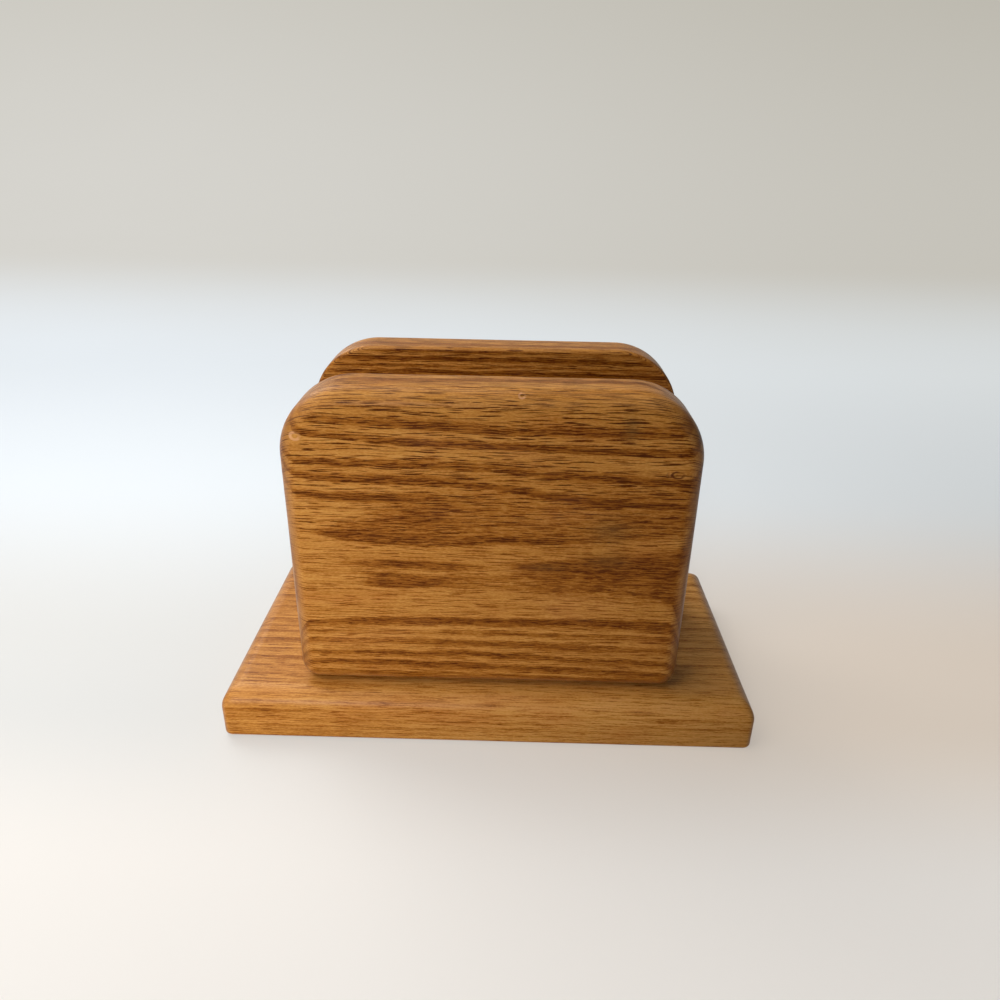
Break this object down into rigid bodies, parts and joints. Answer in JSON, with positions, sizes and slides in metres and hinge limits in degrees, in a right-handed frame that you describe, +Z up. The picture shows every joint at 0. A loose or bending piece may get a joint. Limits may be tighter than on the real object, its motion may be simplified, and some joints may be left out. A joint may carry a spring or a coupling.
{
  "type": "upright napkin holder",
  "caption": "Upright wooden napkin holder: rounded panels stand face to face on a base board and hold folded napkins on edge between them.",
  "frame": {"origin": "centre of the base board's underside, on the table", "axes": "+Z up; +X to the right along the panels, seen from the front; -Y towards the viewer, so the front panel stands on the -Y side"},
  "size_m": [0.1906, 0.098, 0.129],
  "materials": {
    "oak": "satin varnish over a honey-brown stain",
    "zinc_plate": "dull zinc plating"
  },
  "bodies": {
    "root": {"base_board": "oak", "front_panel": "oak", "rear_panel": "oak", "front_left_screw": "zinc_plate", "front_right_screw": "zinc_plate", "rear_left_screw": "zinc_plate", "rear_right_screw": "zinc_plate"}
  },
  "joints": []
}
